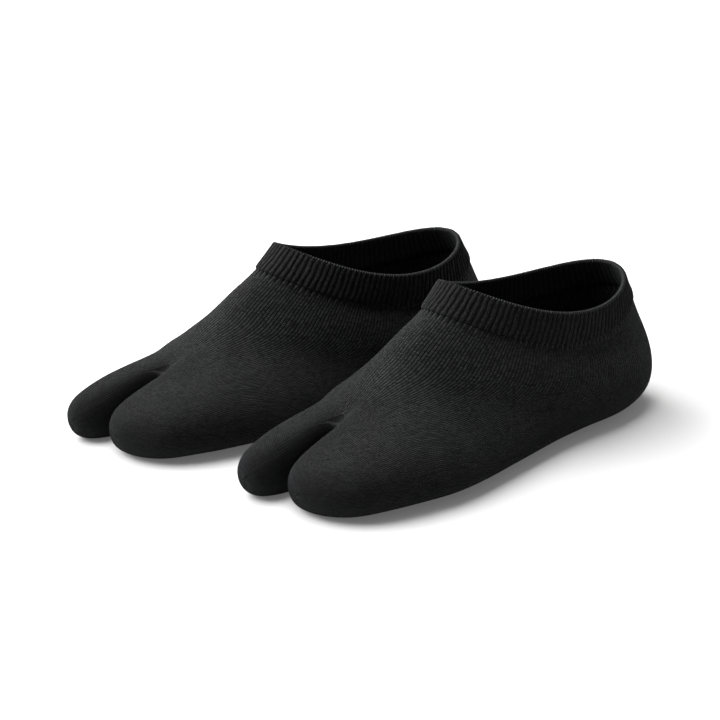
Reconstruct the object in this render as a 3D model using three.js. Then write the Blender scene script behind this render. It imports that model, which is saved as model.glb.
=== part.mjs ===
// A pair of black split-toe (tabi) socks, low cut, filled out and standing side by side.
// Millimetres, +Z up. The toes point to -Y and the little-toe side of each sock is at +X.
import * as THREE from "three";

// Cloth
const FOOT_WALL = 1.5; // plain knit of the foot
const CUFF_PROUD = 0.8; // how far the doubled rib of the cuff stands out from the foot
const CUFF_INSET = 0.5; // and how far it stands in
const CUFF_CROWN = 1.0; // height of the rounded fold along the cuff's top edge
const SEAM_GAP = 0.3; // between the cuff and the foot
const SOLE_PRESS = 2.0; // how much of the rounded sole is pressed flat by standing

// Where the socks stand: the middle of each foot, and how far the far sock's toes turn out
const FOOT_MIDDLE = 127; // distance in front of the heel
const PAIR_ACROSS = 101.4;
const PAIR_STAGGER = 20.2;
const FAR_TURN = THREE.MathUtils.degToRad(-3.5);

// Mesh
const AROUND = 24; // points round each section, a multiple of 4
const BODY_STEPS = 2; // rings for each row of the foot's table
const LOBE_STEPS = 1; // rings for each row of a toe table
const LOBE_START = 0.5; // how far past the top and bottom a toe's outer side reaches, in radians

// Each section of the foot is an oval between a front (or top) point and a back (or sole) point.
// They fan out like the ribs of a shell: level at the ankle, upright at the ball of the foot.
// front and back: distance in front of the heel and height. outer and inner: half widths on
// the little-toe and big-toe sides of the line from back_x to front_x, where the sole's middle and the
// instep's ridge lie across. belly: how much wider the sole side is than the top.
// square: 2 is an ellipse, more is boxier. dip: how far the two sides sag below the front and back.
const FOOT_COLUMNS = [
  "front", "front_z", "back", "back_z", "outer", "inner", "front_x", "back_x", "belly", "square", "dip",
];
const FOOT_ROWS = [
  [123.6, 76.7, 17.0, 69.4, 33.0, 33.0, -2.0, 0.0, 0.0, 2.0, 12.2], // top edge of the cuff
  [129.4, 71.4, 13.3, 63.2, 33.0, 33.0, -2.0, 0.0, 0.0, 2.0, 13.7],
  [135.6, 66.5, 9.0, 56.8, 32.5, 32.5, -2.0, 0.0, 0.0, 2.0, 15], // seam under the cuff
  [142.2, 61.9, 2.9, 45.0, 33.0, 33.0, -2.0, 0.0, 0.0, 2.0, 10.5],
  [148.6, 56.7, -1.4, 33.0, 36.0, 34.0, -3.0, 1.0, 0.02, 2.05, 4.5],
  [154.7, 51.2, -1.5, 20.0, 40.0, 36.0, -4.0, 2.5, 0.05, 2.1, 1],
  [160.5, 46.8, 4.8, 8.0, 42.5, 38.0, -4.5, 3.0, 0.08, 2.15, 0],
  [166.0, 43.7, 24.0, 0.0, 43.0, 38.0, -4.5, 2.2, 0.1, 2.2, 0],
  [171.2, 41.0, 54.0, 0.0, 44.3, 38.0, -4.0, 1.2, 0.12, 2.25, 0],
  [175.9, 38.4, 89.0, 0.0, 47.3, 38.5, -3.0, 2.2, 0.13, 2.3, 0],
  [180.3, 36.3, 125.0, 0.0, 49.8, 39.0, -2.0, 6.7, 0.12, 2.35, 0],
  [184.4, 34.7, 157.0, 0.0, 50.2, 37.5, -0.8, 12.0, 0.11, 2.4, 0],
  [188.4, 33.0, 183.0, 0.0, 49.0, 33.5, 0.8, 14.5, 0.1, 2.4, 0],
];
const CUFF_ROWS = 2; // the first rows, down to the seam

// The split: an upright edge between the two toe pockets
const SPLIT = { forward: 198, across: 3.4, top: 26, bottom: 2 };

// Toe pockets: distance in front of the heel, where the ridge lies across, half widths from the ridge
// away from the split and towards it, top and bottom heights. belly and square are as in the foot's table,
// and inner_square is the same for the side towards the split, which is flatter where the pockets part.
const TOE_COLUMNS = [
  "forward", "ridge", "outer", "inner", "top", "bottom", "belly", "square", "inner_square",
];
const BIG_TOE = {
  rows: [
    [200.3, -11.2, 13.3, 13.3, 30.8, 0.0, 0.0, 2.4, 5.0],
    [214.5, -10.6, 12.7, 12.7, 27.8, 0.0, 0.0, 2.3, 3.2],
    [227.0, -9.5, 11.8, 12.4, 24.4, 0.6, 0.0, 2.25, 2.5],
    [236.5, -8.3, 9.9, 10.4, 21.0, 2.6, 0.0, 2.15, 2.15],
    [241.6, -7.3, 6.1, 6.4, 17.2, 6.5, 0.0, 2.0, 2.0],
  ],
  tip: { forward: 243.2, ridge: -6.9, height: 11 },
};
const FOUR_TOES = {
  rows: [
    [198.8, 18.5, 38.0, 14.8, 31.2, 0.0, 0.08, 2.5, 5.0],
    [210.6, 18.5, 34.4, 14.6, 28.0, 0.0, 0.05, 2.45, 3.2],
    [221.0, 19.0, 29.8, 14.0, 24.8, 0.6, 0.03, 2.35, 2.5],
    [229.8, 20.5, 21.0, 12.2, 21.3, 2.7, 0.0, 2.15, 2.15],
    [234.6, 22.0, 11.4, 7.6, 17.0, 6.4, 0.0, 2.0, 2.0],
  ],
  tip: { forward: 236.6, ridge: 23.0, height: 11 },
};

const LITTLE_TOE_SIDE = 1;
const BIG_TOE_SIDE = -1;

const knit = (name) =>
  new THREE.MeshStandardMaterial({ name, color: 0x1b1c1c, roughness: 0.95, metalness: 0 });

const named = (columns, values) =>
  Object.fromEntries(columns.map((column, i) => [column, values[i]]));

// A smooth curve through all rows of a table, read at t = 0 for the first row, 1 for the second and so on
function rowAt(rows, columns, t) {
  const last = rows.length - 1;
  const i = Math.min(Math.floor(t), last - 1);
  const u = t - i;
  const values = columns.map((_, c) => {
    const [b, d] = [rows[i][c], rows[i + 1][c]];
    const a = i > 0 ? rows[i - 1][c] : 2 * b - d;
    const e = i + 2 <= last ? rows[i + 2][c] : 2 * d - b;
    const slopes = d - a + (2 * a - 5 * b + 4 * d - e) * u + (3 * b - a - 3 * d + e) * u * u;
    return b + 0.5 * u * slopes;
  });
  return named(columns, values);
}

// Cosine and sine of an angle, pushed out from a circle towards a square
function squared(angle, square) {
  const push = (v) => Math.sign(v) * Math.abs(v) ** (2 / square);
  return [push(Math.cos(angle)), push(Math.sin(angle))];
}

const place = (across, forward, height) =>
  new THREE.Vector3(across, FOOT_MIDDLE - forward, Math.max(height - SOLE_PRESS, 0));

// Points of one oval section of the foot, from its front round the little-toe side
function footRing(row) {
  return Array.from({ length: AROUND }, (_, k) => {
    const angle = (2 * Math.PI * k) / AROUND;
    const [along, side] = squared(angle, row.square);
    const share = (1 + along) / 2; // 1 at the front, 0 at the back
    const lerp = (back, front) => back + (front - back) * share;
    return place(
      lerp(row.back_x, row.front_x) + (side > 0 ? row.outer : row.inner) * side * (1 - row.belly * along),
      lerp(row.back, row.front),
      lerp(row.back_z, row.front_z) - row.dip * Math.sin(angle) ** 2 + SOLE_PRESS * share,
    );
  });
}

// Points of one upright section of a toe pocket: the outer side from top to bottom, then the split side
function toeRing(row, side) {
  const steps = AROUND / 2;
  const outer = Array.from({ length: steps + 1 }, (_, k) =>
    THREE.MathUtils.lerp(-LOBE_START, Math.PI + LOBE_START, k / steps));
  const inner = Array.from({ length: steps - 1 }, (_, k) =>
    THREE.MathUtils.lerp(Math.PI + LOBE_START, 2 * Math.PI - LOBE_START, (k + 1) / steps));
  return [...outer, ...inner].map((angle) => {
    const [up, out] = squared(angle, Math.sin(angle) > 0 ? row.square : row.inner_square);
    const height = (row.top + row.bottom + SOLE_PRESS) / 2 + ((row.top - row.bottom + SOLE_PRESS) / 2) * up;
    const half = out > 0 ? row.outer : row.inner;
    return place(row.ridge + side * half * out * (1 - row.belly * up), row.forward, height);
  });
}

// The whole outer skin of a sock: its points, the rings of its ankle end, and its triangles facing out
function sockSkin() {
  const points = [];
  const faces = [];
  const add = (ring) => ring.map((point) => points.push(point) - 1);
  const quad = (a, b, c, d) => faces.push([a, c, b], [a, d, c]);

  const stepsIn = (rows, steps) =>
    Array.from({ length: (rows.length - 1) * steps + 1 }, (_, k) => k / steps);
  const rings = stepsIn(FOOT_ROWS, BODY_STEPS).map((t) =>
    add(footRing(rowAt(FOOT_ROWS, FOOT_COLUMNS, t))));
  rings.slice(1).forEach((ring, i) => {
    ring.forEach((_, k) => {
      const next = (k + 1) % AROUND;
      quad(rings[i][k], rings[i][next], ring[next], ring[k]);
    });
  });

  const ball = rings.at(-1);
  const half = AROUND / 2;
  const split = add(Array.from({ length: half + 1 }, (_, k) => {
    const height = THREE.MathUtils.lerp(SPLIT.bottom, SPLIT.top, k / half);
    return place(SPLIT.across, SPLIT.forward, height + SOLE_PRESS);
  }));

  for (const [toe, side] of [[FOUR_TOES, LITTLE_TOE_SIDE], [BIG_TOE, BIG_TOE_SIDE]]) {
    const turned = (a, b, c, d) => (side === LITTLE_TOE_SIDE ? quad(a, b, c, d) : quad(b, a, d, c));
    const tri = (a, b, c) => faces.push(side === LITTLE_TOE_SIDE ? [b, a, c] : [a, b, c]);
    const loops = stepsIn(toe.rows, LOBE_STEPS).map((t) =>
      add(toeRing(rowAt(toe.rows, TOE_COLUMNS, t), side)));
    const [first] = loops;
    const outer = Array.from({ length: half + 1 }, (_, k) => ball[(side * k + AROUND) % AROUND]);
    outer.slice(1).forEach((point, k) => turned(outer[k], point, first[k + 1], first[k]));
    const inner = [...first.slice(half), first[0]];
    inner.slice(1).forEach((point, k) => turned(split[k], split[k + 1], point, inner[k]));
    tri(outer[0], first[0], split.at(-1));
    tri(first[half], outer[half], split[0]);
    loops.slice(1).forEach((loop, i) => {
      loop.forEach((_, k) => {
        const next = (k + 1) % AROUND;
        turned(loops[i][k], loops[i][next], loop[next], loop[k]);
      });
    });
    const [tip] = add([place(toe.tip.ridge, toe.tip.forward, toe.tip.height + SOLE_PRESS)]);
    loops.at(-1).forEach((point, k, loop) => tri(point, loop[(k + 1) % AROUND], tip));
  }
  return { points, faces, rings };
}

// Mean outward normal at each point of a skin
function normalsOf({ points, faces }) {
  const normals = points.map(() => new THREE.Vector3());
  for (const [a, b, c] of faces) {
    const across = points[b].clone().sub(points[a]);
    const area = across.cross(points[c].clone().sub(points[a]));
    [a, b, c].forEach((point) => normals[point].add(area));
  }
  return normals.map((normal) => normal.normalize());
}

function geometryOf(points, faces) {
  const geometry = new THREE.BufferGeometry();
  geometry.setAttribute(
    "position",
    new THREE.Float32BufferAttribute(points.flatMap((point) => point.toArray()), 3),
  );
  geometry.setIndex(faces.flat());
  geometry.computeVertexNormals();
  return geometry;
}

// Moves each point of ring by distance towards the same point of another ring
const nudged = (points, ring, towards, distance) =>
  ring.map((point, k) => {
    const way = points[towards[k]].clone().sub(points[point]).setLength(distance);
    return points[point].clone().add(way);
  });

// The foot: everything below the seam, as a wall with its thickness inside
function footGeometry(skin, normals) {
  const seam = skin.rings[CUFF_ROWS * BODY_STEPS];
  const outer = skin.points.map((point) => point.clone());
  nudged(skin.points, seam, skin.rings[CUFF_ROWS * BODY_STEPS + 1], SEAM_GAP / 2).forEach(
    (point, k) => outer[seam[k]].copy(point),
  );
  const inner = outer.map((point, i) => point.clone().addScaledVector(normals[i], -FOOT_WALL));
  const above = seam[0];
  const kept = skin.faces.filter((face) => face.every((point) => point >= above));
  const count = outer.length;
  const walls = kept.flatMap(([a, b, c]) => [[a, b, c], [c + count, b + count, a + count]]);
  const edge = seam.flatMap((point, k) => {
    const next = seam[(k + 1) % AROUND];
    return [[point, next, point + count], [next, next + count, point + count]];
  });
  const used = (face) => face.map((point) => (point < count ? point - above : point - 2 * above));
  return geometryOf([...outer.slice(above), ...inner.slice(above)], [...walls, ...edge].map(used));
}

// The cuff: a doubled band of rib, its section run round the ankle, with a rounded fold along its top
function cuffGeometry(skin, normals) {
  const rings = skin.rings.slice(0, CUFF_ROWS * BODY_STEPS + 1);
  const seam = rings.at(-1);
  const moved = (ring, points, distance) =>
    points.map((point, k) => point.clone().addScaledVector(normals[ring[k]], distance));
  const courses = rings.map((ring) => ring.map((point) => skin.points[point]));
  courses[courses.length - 1] = nudged(skin.points, seam, rings.at(-2), SEAM_GAP / 2);
  const outside = courses.map((points, i) => moved(rings[i], points, CUFF_PROUD));
  const inside = courses.map((points, i) => moved(rings[i], points, -FOOT_WALL - CUFF_INSET));
  const middle = (CUFF_PROUD - FOOT_WALL - CUFF_INSET) / 2;
  const fold = courses[0].map((point, k) => {
    const up = point.clone().sub(courses[1][k]).setLength(CUFF_CROWN);
    return point.clone().add(up).addScaledVector(normals[rings[0][k]], middle);
  });
  const section = [...outside.reverse(), fold, ...inside];
  const faces = section.flatMap((_, i) => {
    const [low, high] = [i * AROUND, ((i + 1) % section.length) * AROUND];
    return Array.from({ length: AROUND }, (__, k) => {
      const next = (k + 1) % AROUND;
      return [
        [low + k, high + next, high + k],
        [low + k, low + next, high + next],
      ];
    }).flat();
  });
  return geometryOf(section.flat(), faces);
}

function sock(name) {
  const skin = sockSkin();
  const normals = normalsOf(skin);
  const group = new THREE.Group();
  const foot = new THREE.Mesh(footGeometry(skin, normals), knit("plain_knit"));
  foot.name = `${name}_foot`;
  const cuff = new THREE.Mesh(cuffGeometry(skin, normals), knit("rib_knit"));
  cuff.name = `${name}_cuff`;
  return group.add(foot, cuff);
}

const nearSock = sock("near_sock");
nearSock.position.set(PAIR_ACROSS / 2, PAIR_STAGGER / 2, 0);
const farSock = sock("far_sock");
farSock.position.set(-PAIR_ACROSS / 2, -PAIR_STAGGER / 2, 0);
farSock.rotation.z = FAR_TURN;

// The origin is under the middle of the pair, on the surface it stands on
const pair = new THREE.Group();
pair.add(nearSock, farSock);
pair.updateMatrixWorld(true);
const middle = new THREE.Box3().setFromObject(pair, true).getCenter(new THREE.Vector3());
pair.position.set(-middle.x, -middle.y, 0);

export default pair;
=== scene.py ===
"""A pair of black split-toe (tabi) socks, filled out and standing side by side on a pale floor.

Each sock is two sheets: the plain-knit foot, and the doubled one-by-one rib cuff with its folded rim.
Sizes are in millimetres in the tables and become metres in place().
"""

import math

import bmesh
import bpy
from mathutils import Matrix, Vector, noise

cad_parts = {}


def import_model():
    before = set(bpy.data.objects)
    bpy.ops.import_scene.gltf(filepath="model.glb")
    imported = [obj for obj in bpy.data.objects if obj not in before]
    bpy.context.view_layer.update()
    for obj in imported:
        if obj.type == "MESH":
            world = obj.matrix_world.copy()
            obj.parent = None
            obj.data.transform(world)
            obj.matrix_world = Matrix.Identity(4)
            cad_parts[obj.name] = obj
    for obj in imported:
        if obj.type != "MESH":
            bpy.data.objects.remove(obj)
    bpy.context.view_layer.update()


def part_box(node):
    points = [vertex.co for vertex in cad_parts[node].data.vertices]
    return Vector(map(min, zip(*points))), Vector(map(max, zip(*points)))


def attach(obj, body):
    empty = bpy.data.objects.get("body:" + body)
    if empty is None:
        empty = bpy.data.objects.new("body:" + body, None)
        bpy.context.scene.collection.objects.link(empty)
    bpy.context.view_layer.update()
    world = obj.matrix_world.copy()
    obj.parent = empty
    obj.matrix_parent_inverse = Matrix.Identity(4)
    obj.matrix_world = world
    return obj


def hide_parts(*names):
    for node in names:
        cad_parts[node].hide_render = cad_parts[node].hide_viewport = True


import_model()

MM = 0.001

# Cloth, in millimetres
FOOT_WALL = 1.2  # plain knit
CUFF_PROUD = 0.75  # how far the doubled rib stands out from the foot
CUFF_DEEP = 1.7  # and how far it reaches in
CUFF_CROWN = 1.4  # height of the rounded fold along the top edge
SEAM_GAP = 0.3
SOLE_PRESS = 2.0  # how much of the rounded sole is pressed flat by standing
FOOT_MIDDLE = 127.0  # distance in front of the heel
FAR_TURN = math.radians(-3.5)  # how far the far sock's toes turn out

# Knit: each rib of the cuff is two wales wide, so the lines of the foot run on from the ribs
RIBS = 104
WALES = 2 * RIBS
COURSE = 1.05  # height of one stitch, in millimetres
RIB_HEIGHT = 0.6
POINTS_PER_RIB = 8

# Rings of the cuff's section, and how much of the ribs' height shows on each part of it
OUTSIDE_RINGS, FOLD_RINGS, INSIDE_RINGS = 14, 6, 8
RIB_AT_SEAM, RIB_ON_FOLD, RIB_INSIDE = 0.6, 0.9, 0.5
SEAM_TUCK = 0.55  # how far in and out the band's rounded lower edge starts, as a share of each
RIB_WANDER = 0.22  # how far a rib strays sideways, as a share of one rib
RIB_UNEVEN = 0.35  # and how much its height varies

# Mesh of the foot before it is subdivided
AROUND = 48
BODY_STEPS = 2
LOBE_STEPS = 2
LOBE_START = 0.5  # how far past the top and bottom a toe's outer side reaches, in radians

# Sections of the foot, fanned from level at the ankle to upright at the ball: an oval between a front
# (or top) point and a back (or sole) point. front, back: distance in front of the heel and height.
# outer, inner: half widths towards the little toe and the big toe, from the line back_x to front_x.
# belly: how much wider the sole side is. square: 2 is an ellipse. dip: how far the sides sag.
FOOT_COLUMNS = ("front", "front_z", "back", "back_z", "outer", "inner", "front_x", "back_x", "belly",
                "square", "dip")
FOOT_ROWS = (
    (123.6, 76.7, 17.0, 69.4, 33.0, 33.0, -2.0, 0.0, 0.0, 2.0, 12.2),  # top edge of the cuff
    (129.4, 71.4, 13.3, 63.2, 33.0, 33.0, -2.0, 0.0, 0.0, 2.0, 13.7),
    (135.6, 66.5, 9.0, 56.8, 32.5, 32.5, -2.0, 0.0, 0.0, 2.0, 15),  # seam under the cuff
    (142.2, 61.9, 2.9, 45.0, 33.0, 33.0, -2.0, 0.0, 0.0, 2.0, 10.5),
    (148.6, 56.7, -1.4, 33.0, 36.0, 34.0, -3.0, 1.0, 0.02, 2.05, 4.5),
    (154.7, 51.2, -1.5, 20.0, 40.0, 36.0, -4.0, 2.5, 0.05, 2.1, 1),
    (160.5, 46.8, 4.8, 8.0, 42.5, 38.0, -4.5, 3.0, 0.08, 2.15, 0),
    (166.0, 43.7, 24.0, 0.0, 43.0, 38.0, -4.5, 2.2, 0.1, 2.2, 0),
    (171.2, 41.0, 54.0, 0.0, 44.3, 38.0, -4.0, 1.2, 0.12, 2.25, 0),
    (175.9, 38.4, 89.0, 0.0, 47.3, 38.5, -3.0, 2.2, 0.13, 2.3, 0),
    (180.3, 36.3, 125.0, 0.0, 49.8, 39.0, -2.0, 6.7, 0.12, 2.35, 0),
    (184.4, 34.7, 157.0, 0.0, 50.2, 37.5, -0.8, 12.0, 0.11, 2.4, 0),
    (188.4, 33.0, 183.0, 0.0, 49.0, 33.5, 0.8, 14.5, 0.1, 2.4, 0),
)
CUFF_ROWS = 2  # the first rows, down to the seam

# The split: an upright edge between the two toe pockets
SPLIT_FORWARD, SPLIT_ACROSS, SPLIT_TOP, SPLIT_BOTTOM = 198.0, 3.4, 26.0, 2.0

# Toe pockets: distance in front of the heel, where the ridge lies across, half widths from the ridge
# away from the split and towards it, top and bottom heights. inner_square is the squareness of the side
# towards the split, which is flatter where the pockets part
TOE_COLUMNS = ("forward", "ridge", "outer", "inner", "top", "bottom", "belly", "square", "inner_square")
BIG_TOE = dict(
    side=-1,
    rows=(
        (200.3, -11.2, 13.3, 13.3, 30.8, 0.0, 0.0, 2.4, 5.0),
        (214.5, -10.6, 12.7, 12.7, 27.8, 0.0, 0.0, 2.3, 3.2),
        (227.0, -9.5, 11.8, 12.4, 24.4, 0.6, 0.0, 2.25, 2.5),
        (236.5, -8.3, 9.9, 10.4, 21.0, 2.6, 0.0, 2.15, 2.15),
        (241.6, -7.3, 6.1, 6.4, 17.2, 6.5, 0.0, 2.0, 2.0),
    ),
    tip=(-6.9, 243.2, 11.0),
)
FOUR_TOES = dict(
    side=1,
    rows=(
        (198.8, 18.5, 38.0, 14.8, 31.2, 0.0, 0.08, 2.5, 5.0),
        (210.6, 18.5, 34.4, 14.6, 28.0, 0.0, 0.05, 2.45, 3.2),
        (221.0, 19.0, 29.8, 14.0, 24.8, 0.6, 0.03, 2.35, 2.5),
        (229.8, 20.5, 21.0, 12.2, 21.3, 2.7, 0.0, 2.15, 2.15),
        (234.6, 22.0, 11.4, 7.6, 17.0, 6.4, 0.0, 2.0, 2.0),
    ),
    tip=(23.0, 236.6, 11.0),
)

# Soft troughs and ridges: across, forward, height, length across, along and up, and how far out
CREASE_COLUMNS = ("across", "forward", "height", "wide", "long", "tall", "out")
CREASES = (
    (2.5, 194.0, 31.0, 4.0, 6.0, 9.0, -1.0),  # dimple where the toes part
    (7.0, 187.0, 33.0, 4.0, 8.0, 9.0, 0.7),  # ridge that the split pulls up behind it
    (-5.0, 188.0, 33.0, 5.0, 7.0, 9.0, 0.3),
    (0.0, 158.0, 46.0, 16.0, 5.0, 12.0, -0.35),  # slack across the instep
    (6.0, 150.0, 55.0, 20.0, 4.0, 12.0, 0.3),
    (42.0, 60.0, 22.0, 9.0, 26.0, 9.0, -0.7),  # hollow below the ankle
    (-38.0, 60.0, 22.0, 9.0, 26.0, 9.0, -0.7),
    (48.0, 120.0, 14.0, 9.0, 30.0, 9.0, 0.4),
)
UNEVEN = 0.25  # how far the cloth wanders from its form, in millimetres
UNEVEN_SPACING = 22.0
CREASE_FADE = 4.0  # creases die away over this height above the sole

# Easing passes where the toe pockets leave the ball, and at the end of the split
JOINT_PASSES = 5
SPLIT_PASSES = 30

# Looks: linear colours, the bump's height in millimetres, and the sheen of the fuzz
# painted shade: the near-black that the colour reaches in the grooves between stitches and ribs
GROOVE_SHADE = (0.0005, 0.0005, 0.0005)
PLAIN_YARN = dict(yarn=(0.027, 0.0274, 0.028), bump_height=0.65, sheen=0.03)
RIB_YARN = dict(yarn=(0.034, 0.0344, 0.035), bump_height=0.35, sheen=0.04)
SHEEN_ROUGHNESS = 0.3
SHEEN_TINT = (0.9, 0.95, 1.0)
CLOTH_SPECULAR = 0.03  # matt: more of it greys the black

FLOOR_GREY = 0.5
FLOOR_GLOW = 0.1
SKY_STRENGTH = 0.28

# Square soft lights: azimuth (0 is on the toes' side), elevation, distance and side in metres, watts
LIGHTS = {
    "key": (-74, 56, 2.8, 4.4, 300),
    "rim": (-105, 30, 2.0, 1.0, 26),
    "front": (-38, 36, 2.6, 1.8, 72),
}

# Camera: angles in degrees, distance and target in millimetres
VIEW_AZIMUTH, VIEW_ELEVATION, VIEW_DISTANCE = 49.35, 19.42, 949.75
VIEW_TARGET = (-10.1, -7.2, 30.0)
FOCAL_LENGTH, SENSOR_WIDTH = 97.9, 36


# ---------------------------------------------------------------- form

def row_at(rows, columns, t):
    """A smooth curve through all rows of a table, read at t = 0 for the first row, 1 for the second etc."""
    last = len(rows) - 1
    i = min(int(t), last - 1)
    u = t - i
    values = []
    for c in range(len(columns)):
        b, d = rows[i][c], rows[i + 1][c]
        a = rows[i - 1][c] if i > 0 else 2 * b - d
        e = rows[i + 2][c] if i + 2 <= last else 2 * d - b
        slopes = d - a + (2 * a - 5 * b + 4 * d - e) * u + (3 * b - a - 3 * d + e) * u * u
        values.append(b + 0.5 * u * slopes)
    return dict(zip(columns, values))


def mix(a, b, share):
    return a + (b - a) * share


def smooth_step(low, high, x):
    t = min(max((x - low) / (high - low), 0), 1)
    return t * t * (3 - 2 * t)


def squared(angle, square):
    """Cosine and sine of an angle, pushed out from a circle towards a square."""
    def push(v):
        return math.copysign(abs(v) ** (2 / square), v)
    return push(math.cos(angle)), push(math.sin(angle))


def place(across, forward, height):
    """A point in metres, with the toes towards -Y, from millimetres measured on the foot."""
    return Vector((across, FOOT_MIDDLE - forward, max(height - SOLE_PRESS, 0))) * MM


def foot_point(row, angle):
    """A point of one oval section of the foot; the angle runs from its front round the little-toe side."""
    along, side = squared(angle, row["square"])
    share = (1 + along) / 2
    half = row["outer"] if side > 0 else row["inner"]
    return place(
        mix(row["back_x"], row["front_x"], share) + half * side * (1 - row["belly"] * along),
        mix(row["back"], row["front"], share),
        mix(row["back_z"], row["front_z"], share) - row["dip"] * math.sin(angle) ** 2 + SOLE_PRESS * share,
    )


def toe_ring(row, side):
    """Points of one upright section of a toe pocket: the outer side downwards, then the split side."""
    half = AROUND // 2
    outer = [mix(-LOBE_START, math.pi + LOBE_START, k / half) for k in range(half + 1)]
    inner = [mix(math.pi + LOBE_START, 2 * math.pi - LOBE_START, k / half) for k in range(1, half)]
    points = []
    for angle in outer + inner:
        up, out = squared(angle, row["square"] if math.sin(angle) > 0 else row["inner_square"])
        middle = (row["top"] + row["bottom"] + SOLE_PRESS) / 2
        rise = (row["top"] - row["bottom"] + SOLE_PRESS) / 2
        width = row["outer"] if out > 0 else row["inner"]
        across = row["ridge"] + side * width * out * (1 - row["belly"] * up)
        points.append(place(across, row["forward"], middle + rise * up))
    return points


def steps_in(rows, steps):
    return [k / steps for k in range((len(rows) - 1) * steps + 1)]


class Skin:
    """The outer skin of a foot: points, faces that point out, and where each corner lies in the knit."""

    def __init__(self):
        self.points = []
        self.faces = []
        self.knit = []

    def add(self, points):
        first = len(self.points)
        self.points.extend(points)
        return list(range(first, len(self.points)))

    def face(self, corners, flip=False):
        """corners: (point, wale, course) anticlockwise from outside, or clockwise with flip."""
        corners = corners[::-1] if flip else corners
        self.faces.append([c[0] for c in corners])
        self.knit.append([(c[1], c[2]) for c in corners])

    def band(self, upper, lower, flip=False):
        """Quads between two rows of corners of equal length."""
        for a, b, c, d in zip(upper, upper[1:], lower[1:], lower):
            self.face([a, d, c, b], flip)


def lengths(points):
    """Distance along a row of points, from its first."""
    total = [0.0]
    for a, b in zip(points, points[1:]):
        total.append(total[-1] + (b - a).length)
    return total


def foot_skin():
    """The whole skin of a foot, from the seam under the cuff to the tips of the two toe pockets."""
    skin = Skin()
    courses = [0.0] * (AROUND + 1)
    above = None
    for t in steps_in(FOOT_ROWS, BODY_STEPS):
        if t < CUFF_ROWS:
            continue
        row = row_at(FOOT_ROWS, FOOT_COLUMNS, t)
        points = [foot_point(row, 2 * math.pi * k / AROUND) for k in range(AROUND)]
        around = lengths(points + points[:1])
        if above:
            courses = [
                c + (p - q).length / MM / COURSE
                for c, p, q in zip(courses, points + points[:1], above + above[:1])
            ]
        above = points
        numbers = skin.add(points)
        corners = [
            (numbers[k % AROUND], WALES * around[k] / around[-1], courses[k]) for k in range(AROUND + 1)
        ]
        if t > CUFF_ROWS:
            skin.band(ring, corners)
        ring = corners
    split = split_corners(skin, ring)
    for toe in (FOUR_TOES, BIG_TOE):
        toe_pocket(skin, ring, split, toe)
    return skin


def split_corners(skin, ball):
    """The upright edge between the toe pockets, from its lower end to its upper one."""
    half = AROUND // 2
    points = [
        place(SPLIT_ACROSS, SPLIT_FORWARD, mix(SPLIT_BOTTOM, SPLIT_TOP, k / half) + SOLE_PRESS)
        for k in range(half + 1)
    ]
    numbers = skin.add(points)
    return [(n, 0.0, mix(ball[half][2], ball[0][2], k / half)) for k, n in enumerate(numbers)]


def toe_pocket(skin, ball, split, toe):
    """Closes one toe pocket on its half of the last section of the ball and on the split."""
    side = toe["side"]
    flip = side < 0
    half = AROUND // 2
    outer = ball[:half + 1] if side > 0 else ball[half:][::-1]
    wales = [c[1] for c in outer]
    courses = [c[2] for c in outer]
    above = [skin.points[c[0]] for c in outer]
    loop = None
    for t in steps_in(toe["rows"], LOBE_STEPS):
        points = toe_ring(row_at(toe["rows"], TOE_COLUMNS, t), side)
        numbers = skin.add(points)
        if loop is None:
            spread = lengths(points[half:] + points[:1])
            step = (wales[-1] - wales[0]) / (lengths(points[:half + 1])[-1] / MM)
            extra = round(step * spread[-1] / MM)
            wales += [wales[-1] + extra * s / spread[-1] for s in spread[1:]]
            grown = [(p - q).length / MM / COURSE for p, q in zip(points[:half + 1], above)]
            courses = [c + g for c, g in zip(courses, grown)]
            courses += [mix(courses[-1], courses[0], k / half) for k in range(1, half + 1)]
        else:
            grown = [(p - q).length / MM / COURSE for p, q in zip(points + points[:1], above + above[:1])]
            courses = [c + g for c, g in zip(courses, grown)]
        corners = [(numbers[k % AROUND], wales[k], courses[k]) for k in range(AROUND + 1)]
        if loop is None:
            skin.band(outer, corners[:half + 1], flip)
            inner = corners[half:]
            edge = [(s[0], i[1], i[2] - (skin.points[s[0]] - skin.points[i[0]]).length / MM / COURSE)
                    for s, i in zip(split, inner)]
            skin.band(edge, inner, flip)
            skin.face([outer[0], (split[-1][0], outer[0][1], edge[-1][2]), corners[0]], flip)
            skin.face([corners[half], (split[0][0], outer[half][1], edge[0][2]), outer[half]], flip)
        else:
            skin.band(loop, corners, flip)
        loop = corners
        above = points
    tip = skin.add([place(toe["tip"][0], toe["tip"][1], toe["tip"][2] + SOLE_PRESS)])[0]
    for a, b in zip(loop, loop[1:]):
        grown = (skin.points[tip] - skin.points[a[0]]).length / MM / COURSE
        skin.face([a, (tip, (a[1] + b[1]) / 2, a[2] + grown), b], flip)


# ---------------------------------------------------------------- meshes

def select_only(piece):
    bpy.ops.object.select_all(action="DESELECT")
    piece.select_set(True)
    bpy.context.view_layer.objects.active = piece


def new_piece(name, points, faces, knit):
    """A smooth mesh with the UV map "knit", which counts wales across and courses along."""
    mesh = bpy.data.meshes.new(name)
    mesh.from_pydata(points, [], faces)
    layer = mesh.uv_layers.new(name="knit")
    flat = [uv for face in knit for uv in face]
    for loop, uv in zip(layer.data, flat):
        loop.uv = uv
    piece = bpy.data.objects.new(name, mesh)
    bpy.context.scene.collection.objects.link(piece)
    for polygon in mesh.polygons:
        polygon.use_smooth = True
    return piece


def apply_modifier(piece, kind, **settings):
    select_only(piece)
    modifier = piece.modifiers.new(kind.lower(), kind)
    for key, value in settings.items():
        setattr(modifier, key, value)
    bpy.ops.object.modifier_apply(modifier=modifier.name)


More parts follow.
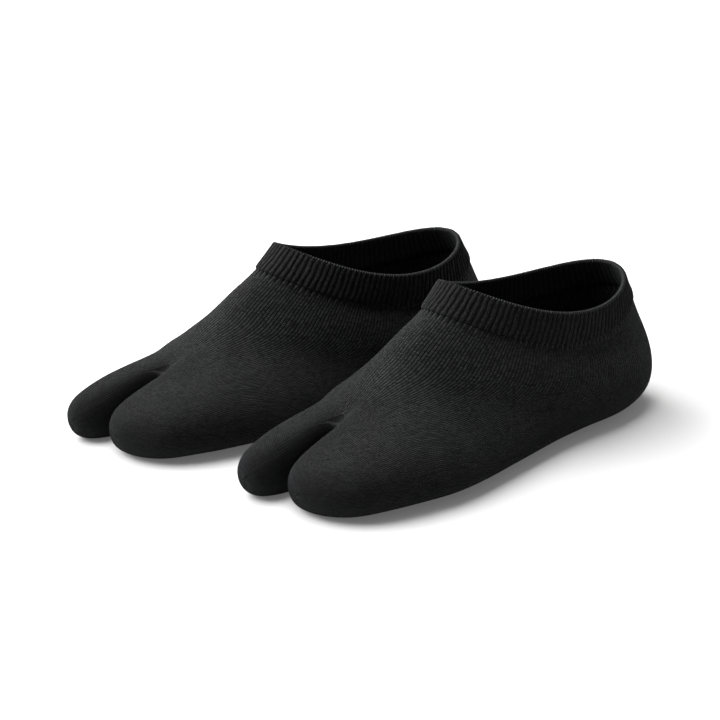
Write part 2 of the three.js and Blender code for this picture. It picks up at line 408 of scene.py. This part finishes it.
def relax(piece, passes, where):
    """Eases each point towards the middle of its neighbours, by the share that where() gives there."""
    shape = bmesh.new()
    shape.from_mesh(piece.data)
    for _ in range(passes):
        moves = []
        for v in shape.verts:
            share = where(v.co)
            if share <= 0 or v.is_boundary:
                continue
            near = [e.other_vert(v).co for e in v.link_edges]
            middle = sum(near, Vector()) / len(near)
            moves.append((v, v.co.lerp(middle, share)))
        for v, co in moves:
            v.co = co if v.co.z > 0.05 * MM else Vector((co.x, co.y, v.co.z))
    shape.to_mesh(piece.data)
    shape.free()


def crease(piece):
    """Moves the cloth out and in by listed troughs and ridges, and by a slight unevenness."""
    mesh = piece.data
    normals = [v.normal.copy() for v in mesh.vertices]
    soft = [dict(zip(CREASE_COLUMNS, row)) for row in CREASES]
    for v, normal in zip(mesh.vertices, normals):
        x, y, z = v.co / MM
        forward = FOOT_MIDDLE - y
        out = UNEVEN * noise.noise(v.co / (UNEVEN_SPACING * MM))
        for fold in soft:
            reach = (
                ((x - fold["across"]) / fold["wide"]) ** 2
                + ((forward - fold["forward"]) / fold["long"]) ** 2
                + ((z - fold["height"]) / fold["tall"]) ** 2
            )
            out += fold["out"] * math.exp(-reach)
        out *= smooth_step(0, CREASE_FADE, z)
        v.co += normal * out * MM


def foot(name):
    """The plain-knit sheet: the skin subdivided, eased, creased, pressed flat and given its thickness."""
    skin = foot_skin()
    piece = new_piece(name, skin.points, skin.faces, skin.knit)

    def toe_joint(co):
        across, forward = co.x / MM, FOOT_MIDDLE - co.y / MM
        apart = smooth_step(6, 20, abs(across - SPLIT_ACROSS))
        return 0.5 * apart * smooth_step(168, 186, forward) * (1 - smooth_step(205, 222, forward))

    def split_end(co):
        away = (co / MM - Vector((SPLIT_ACROSS, FOOT_MIDDLE - SPLIT_FORWARD + 2, SPLIT_TOP))).length
        return 0.6 * (1 - smooth_step(6, 14, away))

    relax(piece, JOINT_PASSES, toe_joint)
    apply_modifier(piece, "SUBSURF", levels=2, render_levels=2)
    relax(piece, SPLIT_PASSES, split_end)
    crease(piece)
    for v in piece.data.vertices:
        v.co.z = max(v.co.z, 0)
    apply_modifier(piece, "SOLIDIFY", thickness=FOOT_WALL * MM, offset=-1, use_even_offset=False)
    return piece


def even_angles(t, count):
    """count angles, and the first again, evenly spaced round section t by distance."""
    fine = 720
    row = row_at(FOOT_ROWS, FOOT_COLUMNS, t)
    angles = [2 * math.pi * k / fine for k in range(fine + 1)]
    along = lengths([foot_point(row, a) for a in angles])
    found = []
    j = 0
    for k in range(count + 1):
        want = along[-1] * k / count
        while j < fine - 1 and along[j + 1] < want:
            j += 1
        share = (want - along[j]) / (along[j + 1] - along[j])
        found.append(mix(angles[j], angles[j + 1], share))
    return found


def cuff_section():
    """A row for each ring of the cuff, from the seam up the outside, over the fold and down the inside.

    The columns are section t, distance out, distance up the wall, share of the ribs' height, and share of
    the single stitches that show on the fold.
    """
    rows = [
        (CUFF_ROWS, -CUFF_DEEP * SEAM_TUCK, 0.2, 0.0, 0),
        (CUFF_ROWS, CUFF_PROUD * 0.1, SEAM_GAP / 2, 0.3, 0),
    ]
    for k in range(OUTSIDE_RINGS + 1):
        t = CUFF_ROWS * (1 - k / OUTSIDE_RINGS)
        edge = min(k / 1.5, 1)
        out = mix(CUFF_PROUD * SEAM_TUCK, CUFF_PROUD, edge)
        rows.append((t, out, 0.35 if k == 0 else 0, mix(RIB_AT_SEAM, 1, edge), 0))
    half = (CUFF_PROUD + CUFF_DEEP) / 2
    for k in range(1, FOLD_RINGS):
        turn = math.pi * k / FOLD_RINGS
        out = (CUFF_PROUD - CUFF_DEEP) / 2 + half * math.cos(turn)
        rows.append((0, out, CUFF_CROWN * math.sin(turn), RIB_ON_FOLD, 1.0))
    for k in range(INSIDE_RINGS + 1):
        rows.append((CUFF_ROWS * k / INSIDE_RINGS, -CUFF_DEEP, 0, RIB_INSIDE, 0))
    return rows


def cuff_ring(t, out, up, share, tick):
    """Points of one ring of the cuff, and the wale that each lies on."""
    count = RIBS * POINTS_PER_RIB
    row = row_at(FOOT_ROWS, FOOT_COLUMNS, t)
    below = row_at(FOOT_ROWS, FOOT_COLUMNS, t + 0.25)
    angles = even_angles(t, count)
    points = [foot_point(row, a) for a in angles[:-1]]
    lower = [foot_point(below, a) for a in angles[:-1]]
    ring, wales = [], []
    for k, (point, under) in enumerate(zip(points, lower)):
        along = points[(k + 1) % count] - points[k - 1]
        rise = (point - under).normalized()
        normal = along.cross(rise).normalized()
        rib = k / POINTS_PER_RIB
        wander = RIB_WANDER * noise.noise(Vector((rib * 0.9, t * 1.3, 3.1)))
        strength = 1 + RIB_UNEVEN * noise.noise(Vector((rib * 0.63, t * 0.8, 7.7)))
        ribs = math.cos(2 * math.pi * (rib + wander))
        stitches = math.cos(4 * math.pi * (rib + wander))
        wave = mix(ribs, stitches, tick)
        lift = RIB_HEIGHT * share * strength * (0.5 + 0.5 * wave) ** 0.7 - RIB_HEIGHT * share * 0.5
        ring.append(point + normal * (out + lift) * MM + rise * up * MM)
        wales.append((rib + wander) * WALES / RIBS)
    return ring, wales


def cuff(name):
    """The doubled band of rib, a closed ring; its attribute "fold" is 1 along the folded edge."""
    rings, wales, folds = [], [], []
    for t, out, up, share, tick in cuff_section():
        ring, turns = cuff_ring(t, out, up, share, tick)
        rings.append(ring)
        wales.append(turns + [turns[0] + WALES])
        folds += [tick] * len(ring)

    points = [p for ring in rings for p in ring]
    heights = lengths([ring[0] for ring in rings])
    courses = [height / MM / COURSE for height in heights]
    count = len(rings[0])
    faces, knit = [], []
    for i, low in enumerate(courses):
        j = (i + 1) % len(rings)
        high = courses[j] if j else low + 1
        for k in range(count):
            n = (k + 1) % count
            faces.append([i * count + k, i * count + n, j * count + n, j * count + k])
            lower = [(wales[i][k], low), (wales[i][k + 1], low)]
            upper = [(wales[j][k + 1], high), (wales[j][k], high)]
            knit.append(lower + upper)
    piece = new_piece(name, points, faces, knit)
    piece.data.attributes.new("fold", "FLOAT", "POINT").data.foreach_set("value", folds)
    return piece


def stand(piece, node, turn, move):
    """Turns a piece about the upright axis and moves it, all in its mesh: its object stays at the origin."""
    piece.data.transform(Matrix.Translation(move) @ Matrix.Rotation(turn, 4, "Z"))
    piece.data.update()
    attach(piece, "root")
    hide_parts(node)
    return piece


def where_it_stands(node, turn):
    """How far a sock's own origin is from the frame's, from the box of its foot."""
    low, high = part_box(node)
    spin = Matrix.Rotation(turn, 4, "Z")
    points = [spin @ p for p in foot_skin().points]
    xs, ys = [p.x for p in points], [p.y for p in points]
    return Vector((
        (low.x + high.x - min(xs) - max(xs)) / 2,
        (low.y + high.y - min(ys) - max(ys)) / 2,
        0,
    ))


# ---------------------------------------------------------------- materials

def add_node(tree, kind, x, y, **settings):
    node = tree.nodes.new(kind)
    node.location = (x, y)
    for key, value in settings.items():
        setattr(node, key, value)
    return node


def math_node(tree, operation, x, y, *values):
    """A Math node; each value is a number or the socket that feeds it."""
    node = add_node(tree, "ShaderNodeMath", x, y, operation=operation)
    for slot, value in zip(node.inputs, values):
        if isinstance(value, bpy.types.NodeSocket):
            tree.links.new(value, slot)
        else:
            slot.default_value = value
    return node.outputs[0]


def stitch_group():
    """Plain knit: columns of V-shaped stitches. Knit is the place in wales and courses."""
    group = bpy.data.node_groups.new("knit stitches", "ShaderNodeTree")
    group.interface.new_socket("Knit", in_out="INPUT", socket_type="NodeSocketVector")
    slant = group.interface.new_socket("Slant", in_out="INPUT", socket_type="NodeSocketFloat")
    slant.default_value = 0.6
    wander = group.interface.new_socket("Wander", in_out="INPUT", socket_type="NodeSocketFloat")
    wander.default_value = 0.15
    group.interface.new_socket("Height", in_out="OUTPUT", socket_type="NodeSocketFloat")
    group.interface.new_socket("Groove", in_out="OUTPUT", socket_type="NodeSocketFloat")
    group.interface.new_socket("Yarn", in_out="OUTPUT", socket_type="NodeSocketFloat")
    inputs = add_node(group, "NodeGroupInput", -1400, 0)
    outputs = add_node(group, "NodeGroupOutput", 900, 0)

    wobble = add_node(group, "ShaderNodeTexNoise", -1200, 260, noise_dimensions="2D")
    wobble.inputs["Scale"].default_value = 0.35
    wobble.inputs["Detail"].default_value = 2.0
    group.links.new(inputs.outputs["Knit"], wobble.inputs["Vector"])
    centred = math_node(group, "SUBTRACT", -1000, 260, wobble.outputs["Fac"], 0.5)
    shift = math_node(group, "MULTIPLY", -820, 260, centred, inputs.outputs["Wander"])
    split = add_node(group, "ShaderNodeSeparateXYZ", -1200, -60)
    group.links.new(inputs.outputs["Knit"], split.inputs[0])
    wale = math_node(group, "ADD", -640, 160, split.outputs["X"], shift)
    course = math_node(group, "ADD", -640, -100, split.outputs["Y"], shift)

    part = math_node(group, "FRACT", -460, 160, wale)
    offset = math_node(group, "SUBTRACT", -300, 160, part, 0.5)
    away = math_node(group, "ABSOLUTE", -140, 160, offset)
    hump = math_node(group, "COSINE", 180, 200, math_node(group, "MULTIPLY", 20, 200, away, math.pi))
    cleft = math_node(group, "SINE", 180, 380, math_node(group, "MULTIPLY", 20, 380, away, 2 * math.pi))
    rounded = math_node(group, "MULTIPLY", 340, 160, hump, 0.8)
    legs = math_node(group, "MULTIPLY_ADD", 340, 280, cleft, 0.25, rounded)
    leaned = math_node(group, "ADD", 20, -100, course,
                       math_node(group, "MULTIPLY", -140, -40, away, inputs.outputs["Slant"]))
    loop = math_node(group, "FRACT", 180, -100, leaned)
    bead = math_node(group, "SINE", 500, -100, math_node(group, "MULTIPLY", 340, -100, loop, math.pi))
    weight = math_node(group, "MULTIPLY_ADD", 660, -100, bead, 0.45, 0.55)
    height = math_node(group, "MULTIPLY", 700, 120, legs, weight)
    group.links.new(height, outputs.inputs["Height"])
    groove = math_node(group, "SUBTRACT", 700, 300, 1.0, legs)
    group.links.new(groove, outputs.inputs["Groove"])

    stray = add_node(group, "ShaderNodeTexWhiteNoise", 340, -360, noise_dimensions="2D")
    cell = add_node(group, "ShaderNodeCombineXYZ", 180, -360)
    group.links.new(math_node(group, "FLOOR", 20, -300, wale), cell.inputs[0])
    group.links.new(math_node(group, "FLOOR", 20, -420, leaned), cell.inputs[1])
    group.links.new(cell.outputs[0], stray.inputs["Vector"])
    group.links.new(stray.outputs["Value"], outputs.inputs["Yarn"])
    return group


def fuzz_group():
    """Cotton fuzz: fine fibres over the yarn, and a broad unevenness of the dye."""
    group = bpy.data.node_groups.new("cotton fuzz", "ShaderNodeTree")
    fine_size = group.interface.new_socket("Fibre Scale", in_out="INPUT", socket_type="NodeSocketFloat")
    fine_size.default_value = 2600
    broad_size = group.interface.new_socket("Patch Scale", in_out="INPUT", socket_type="NodeSocketFloat")
    broad_size.default_value = 45
    group.interface.new_socket("Fibres", in_out="OUTPUT", socket_type="NodeSocketFloat")
    group.interface.new_socket("Patches", in_out="OUTPUT", socket_type="NodeSocketFloat")
    inputs = add_node(group, "NodeGroupInput", -700, 0)
    outputs = add_node(group, "NodeGroupOutput", 300, 0)
    where = add_node(group, "ShaderNodeTexCoord", -700, 240)
    textures = (("Fibres", "Fibre Scale", 150, 3.0), ("Patches", "Patch Scale", -150, 4.0))
    for name, scale, y, detail in textures:
        texture = add_node(group, "ShaderNodeTexNoise", -300, y)
        texture.inputs["Detail"].default_value = detail
        group.links.new(where.outputs["Object"], texture.inputs["Vector"])
        group.links.new(inputs.outputs[scale], texture.inputs["Scale"])
        group.links.new(texture.outputs["Fac"], outputs.inputs[name])
    return group


def knit_material(name, groups, on_cuff, yarn, bump_height, sheen):
    """Black cotton knit: greyer on the yarn, with painted shade that darkens the colour between the
    stitches, and soft sheen from its fuzz.
    """
    stitches, fuzz = groups
    material = bpy.data.materials.new(name)
    material.use_nodes = True
    tree = material.node_tree
    tree.nodes.clear()
    output = add_node(tree, "ShaderNodeOutputMaterial", 1100, 0)
    shader = add_node(tree, "ShaderNodeBsdfPrincipled", 800, 0)
    tree.links.new(shader.outputs[0], output.inputs["Surface"])
    knit = add_node(tree, "ShaderNodeUVMap", -900, 100, uv_map="knit")
    stitch = add_node(tree, "ShaderNodeGroup", -600, 100, node_tree=stitches)
    tree.links.new(knit.outputs["UV"], stitch.inputs["Knit"])
    fluff = add_node(tree, "ShaderNodeGroup", -600, -200, node_tree=fuzz)

    height = stitch.outputs["Height"]
    if on_cuff:
        height = cuff_rib(tree, knit, height)
    # painted shade: the colour falls from the yarn's grey to near-black with the stitches' relief, darkest
    # in the grooves
    relief_shade = math_node(tree, "POWER", -480, 260, height, 2.2)
    fleck = math_node(tree, "MULTIPLY_ADD", -480, 400, stitch.outputs["Yarn"], 0.9, 0.35)
    grey = math_node(tree, "MULTIPLY", -320, 260, relief_shade, fleck)
    fluffy = math_node(tree, "MULTIPLY_ADD", -320, 100, fluff.outputs["Fibres"], 1.3, -0.52)
    grey = math_node(tree, "ADD", -160, 260, grey, fluffy)
    patch = math_node(tree, "MULTIPLY_ADD", -320, -60, fluff.outputs["Patches"], 0.7, 0.65)
    grey = math_node(tree, "MULTIPLY", 0, 260, grey, patch)
    ramp = add_node(tree, "ShaderNodeValToRGB", 180, 260)
    ramp.color_ramp.elements[0].color = (*GROOVE_SHADE, 1)
    ramp.color_ramp.elements[1].color = (*yarn, 1)
    tree.links.new(grey, ramp.inputs["Fac"])
    tree.links.new(ramp.outputs["Color"], shader.inputs["Base Color"])

    rough = math_node(tree, "MULTIPLY_ADD", 480, -60, fluff.outputs["Fibres"], 0.12, 0.82)
    tree.links.new(rough, shader.inputs["Roughness"])
    shader.inputs["Specular IOR Level"].default_value = CLOTH_SPECULAR
    shader.inputs["Sheen Weight"].default_value = sheen
    shader.inputs["Sheen Roughness"].default_value = SHEEN_ROUGHNESS
    shader.inputs["Sheen Tint"].default_value = (*SHEEN_TINT, 1)

    relief = math_node(tree, "MULTIPLY_ADD", 180, -260, fluff.outputs["Fibres"], 0.35, height)
    if not on_cuff:
        relief = ribs_run_on(tree, knit, relief)
    bump = add_node(tree, "ShaderNodeBump", 560, -260)
    bump.inputs["Strength"].default_value = 1.0
    bump.inputs["Distance"].default_value = bump_height * MM
    tree.links.new(relief, bump.inputs["Height"])
    tree.links.new(bump.outputs["Normal"], shader.inputs["Normal"])
    return material


def cuff_rib(tree, knit, height):
    """On the cuff: each rib of two wales has a valley beside it, sunk in the relief and darkened in the
    colour by painted shade, and the fold shows single stitches with painted shade between them.
    """
    split = add_node(tree, "ShaderNodeSeparateXYZ", -900, 560)
    tree.links.new(knit.outputs["UV"], split.inputs[0])
    masks = []
    for y, wales, sharp in ((620, 2, 0.7), (760, 1, 1.6)):
        turn = math_node(tree, "MULTIPLY", -720, y, split.outputs["X"], 2 * math.pi / wales)
        wave = math_node(tree, "MULTIPLY_ADD", -380, y, math_node(tree, "COSINE", -560, y, turn), 0.5, 0.5)
        masks.append(math_node(tree, "POWER", -200, y, wave, sharp))
    fold = add_node(tree, "ShaderNodeAttribute", -560, 480, attribute_name="fold")
    ribs = math_node(tree, "MULTIPLY", -20, 620, masks[0],
                     math_node(tree, "MULTIPLY_ADD", -200, 500, height, 0.5, 0.28))
    ticks = math_node(tree, "MULTIPLY", -20, 760, masks[1], 1.6)
    shown = math_node(tree, "SUBTRACT", 140, 480, 1.0, fold.outputs["Fac"])
    ribs = math_node(tree, "MULTIPLY", 140, 620, ribs, shown)
    return math_node(tree, "MULTIPLY_ADD", 300, 700, ticks, fold.outputs["Fac"], ribs)


def ribs_run_on(tree, knit, relief):
    """On the foot: the ribs of the cuff run on for a few courses below the seam and die away."""
    split = add_node(tree, "ShaderNodeSeparateXYZ", -700, -480)
    tree.links.new(knit.outputs["UV"], split.inputs[0])
    turn = math_node(tree, "MULTIPLY", -520, -420, split.outputs["X"], math.pi)
    wave = math_node(tree, "COSINE", -360, -420, turn)
    fade = math_node(tree, "MAXIMUM", -200, -540,
                     math_node(tree, "MULTIPLY_ADD", -360, -540, split.outputs["Y"], -0.25, 1.0), 0.0)
    ribs = math_node(tree, "MULTIPLY", -40, -460, wave, fade)
    return math_node(tree, "MULTIPLY_ADD", 360, -360, ribs, 1.2, relief)


# ---------------------------------------------------------------- stage

def floor_material():
    material = bpy.data.materials.new("pale floor")
    material.use_nodes = True
    shader = material.node_tree.nodes["Principled BSDF"]
    shader.inputs["Base Color"].default_value = (FLOOR_GREY, FLOOR_GREY, FLOOR_GREY, 1)
    shader.inputs["Roughness"].default_value = 0.7
    shader.inputs["Specular IOR Level"].default_value = 0.1
    shader.inputs["Emission Color"].default_value = (1, 1, 1, 1)
    shader.inputs["Emission Strength"].default_value = FLOOR_GLOW
    return material


def floor():
    bpy.ops.object.select_all(action="DESELECT")
    bpy.ops.mesh.primitive_plane_add(size=40, location=(0, 0, 0))
    plane = bpy.context.object
    plane.name = "floor"
    plane.data.materials.append(floor_material())


def softbox(name, azimuth, elevation, distance, size, power):
    """A square soft light that looks at the pair, from its row in LIGHTS."""
    turn, lift = math.radians(azimuth), math.radians(elevation)
    away = Vector((math.sin(turn) * math.cos(lift), -math.cos(turn) * math.cos(lift), math.sin(lift)))
    bpy.ops.object.light_add(type="AREA", location=away * distance)
    light = bpy.context.object
    light.name = name
    light.rotation_euler = away.to_track_quat("Z", "Y").to_euler()
    light.data.size = size
    light.data.energy = power


def camera():
    azimuth, elevation = math.radians(VIEW_AZIMUTH), math.radians(VIEW_ELEVATION)
    distance = VIEW_DISTANCE * MM
    target = Vector(VIEW_TARGET) * MM
    away = Vector((
        math.sin(azimuth) * math.cos(elevation),
        -math.cos(azimuth) * math.cos(elevation),
        math.sin(elevation),
    ))
    bpy.ops.object.camera_add(location=target + away * distance)
    lens = bpy.context.object
    lens.rotation_euler = away.to_track_quat("Z", "Y").to_euler()
    lens.data.lens = FOCAL_LENGTH
    lens.data.sensor_width = SENSOR_WIDTH
    bpy.context.scene.camera = lens


def world():
    sky = bpy.data.worlds.new("studio")
    bpy.context.scene.world = sky
    sky.use_nodes = True
    background = sky.node_tree.nodes["Background"]
    background.inputs["Color"].default_value = (1, 1, 1, 1)
    background.inputs["Strength"].default_value = SKY_STRENGTH
    bpy.context.scene.view_settings.view_transform = "Standard"


# ---------------------------------------------------------------- the pair

camera()
world()
floor()
for name, settings in LIGHTS.items():
    softbox(name, *settings)

groups = (stitch_group(), fuzz_group())
plain = knit_material("plain knit", groups, on_cuff=False, **PLAIN_YARN)
rib = knit_material("rib knit", groups, on_cuff=True, **RIB_YARN)

for side, turn in (("near", 0.0), ("far", FAR_TURN)):
    move = where_it_stands(f"{side}_sock_foot", turn)
    sole = stand(foot(f"{side}_foot_knit"), f"{side}_sock_foot", turn, move)
    sole.data.materials.append(plain)
    band = stand(cuff(f"{side}_cuff_rib"), f"{side}_sock_cuff", turn, move)
    band.data.materials.append(rib)
